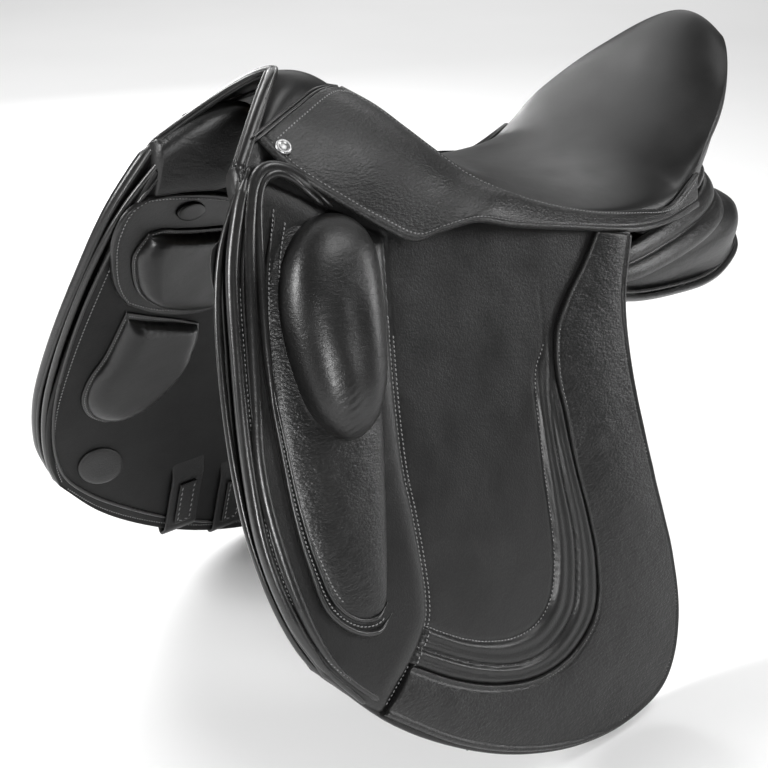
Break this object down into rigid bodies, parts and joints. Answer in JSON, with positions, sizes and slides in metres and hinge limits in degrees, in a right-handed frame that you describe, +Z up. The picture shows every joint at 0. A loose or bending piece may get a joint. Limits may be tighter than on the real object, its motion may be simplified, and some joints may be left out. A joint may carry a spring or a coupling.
{
  "type": "english saddle",
  "caption": "Black dressage saddle with deep seat, long single flaps, external thigh blocks, lifting skirts and long girth billets.",
  "frame": {"origin": "on the midline in the channel between the panels, where the saddle rests over the horse's spine", "axes": "+X towards the horse's head, +Y to the near (left) side, +Z up"},
  "size_m": [0.625, 0.4628, 0.5241],
  "materials": {
    "smooth_leather": "satin black calf leather",
    "grain_leather": "pebble grained black leather",
    "panel_leather": "soft creased black leather",
    "strap_leather": "dull black strap leather",
    "edge_leather": "polished black rolled edge",
    "foam": "open cell foam",
    "webbing": "woven webbing",
    "tree_wood": "laminated beech",
    "steel": "polished stainless steel"
  },
  "bodies": {
    "tree": {"tree_frame": "tree_wood", "head_plate": "steel", "seat_web_left": "webbing", "seat_web_right": "webbing", "seat_foam": "foam", "seat_cover": "smooth_leather", "pommel_cover": "smooth_leather", "pommel_welt": "edge_leather", "cantle_cover": "smooth_leather", "rear_roll": "edge_leather", "panel_left": "panel_leather", "panel_right": "panel_leather", "rear_gusset_left": "grain_leather", "rear_gusset_right": "grain_leather", "panel_piping_left": "edge_leather", "panel_piping_right": "edge_leather", "skirt_top_left": "grain_leather", "skirt_top_right": "grain_leather", "nail_head_left": "steel", "nail_head_right": "steel", "stirrup_bar_left": "steel", "stirrup_bar_right": "steel", "flap_head_left": "smooth_leather", "flap_head_right": "smooth_leather"},
    "skirt_left": {"skirt_left": "grain_leather"},
    "flap_left": {"flap_left": "smooth_leather", "flap_border_left": "grain_leather", "flap_channel_left": "smooth_leather", "block_base_left": "smooth_leather", "thigh_block_left": "smooth_leather", "edge_roll_left": "edge_leather", "sweat_flap_left": "smooth_leather", "pad_backing_left": "smooth_leather", "upper_pad_left": "panel_leather", "lower_pad_left": "panel_leather", "pad_disc_left": "smooth_leather", "pad_button_left": "smooth_leather", "billet_front_left": "strap_leather", "billet_rear_left": "strap_leather", "billet_tab_front_left": "strap_leather", "billet_tab_rear_left": "strap_leather"},
    "bar_catch_left": {"bar_catch_left": "steel"},
    "skirt_right": {"skirt_right": "grain_leather"},
    "flap_right": {"flap_right": "smooth_leather", "flap_border_right": "grain_leather", "flap_channel_right": "smooth_leather", "block_base_right": "smooth_leather", "thigh_block_right": "smooth_leather", "edge_roll_right": "edge_leather", "sweat_flap_right": "smooth_leather", "pad_backing_right": "smooth_leather", "upper_pad_right": "panel_leather", "lower_pad_right": "panel_leather", "pad_disc_right": "smooth_leather", "pad_button_right": "smooth_leather", "billet_front_right": "strap_leather", "billet_rear_right": "strap_leather", "billet_tab_front_right": "strap_leather", "billet_tab_rear_right": "strap_leather"},
    "bar_catch_right": {"bar_catch_right": "steel"}
  },
  "joints": [
    {"name": "skirt_left_lift", "type": "hinge", "parent": "tree", "child": "skirt_left", "pos_m": [-0.10129, 0.13501, 0.06109], "axis": [0.946, -0.1851, 0.2661], "range_deg": [0, 60]},
    {"name": "skirt_right_lift", "type": "hinge", "parent": "tree", "child": "skirt_right", "pos_m": [-0.10129, -0.13501, 0.06109], "axis": [-0.946, -0.1851, -0.2661], "range_deg": [0, 60]},
    {"name": "flap_left_lift", "type": "hinge", "parent": "tree", "child": "flap_left", "pos_m": [-0.04152, 0.15389, -0.00349], "axis": [0.8721, -0.2668, 0.4102], "range_deg": [0, 25]},
    {"name": "flap_right_lift", "type": "hinge", "parent": "tree", "child": "flap_right", "pos_m": [-0.04152, -0.15389, -0.00349], "axis": [-0.8721, -0.2668, -0.4102], "range_deg": [0, 25]},
    {"name": "bar_catch_left_turn", "type": "hinge", "parent": "tree", "child": "bar_catch_left", "pos_m": [0.0815, 0.075, 0.0985], "axis": [0, 1, 0], "range_deg": [0, 90]},
    {"name": "bar_catch_right_turn", "type": "hinge", "parent": "tree", "child": "bar_catch_right", "pos_m": [0.0815, -0.075, 0.0985], "axis": [0, 1, 0], "range_deg": [0, 90]}
  ]
}
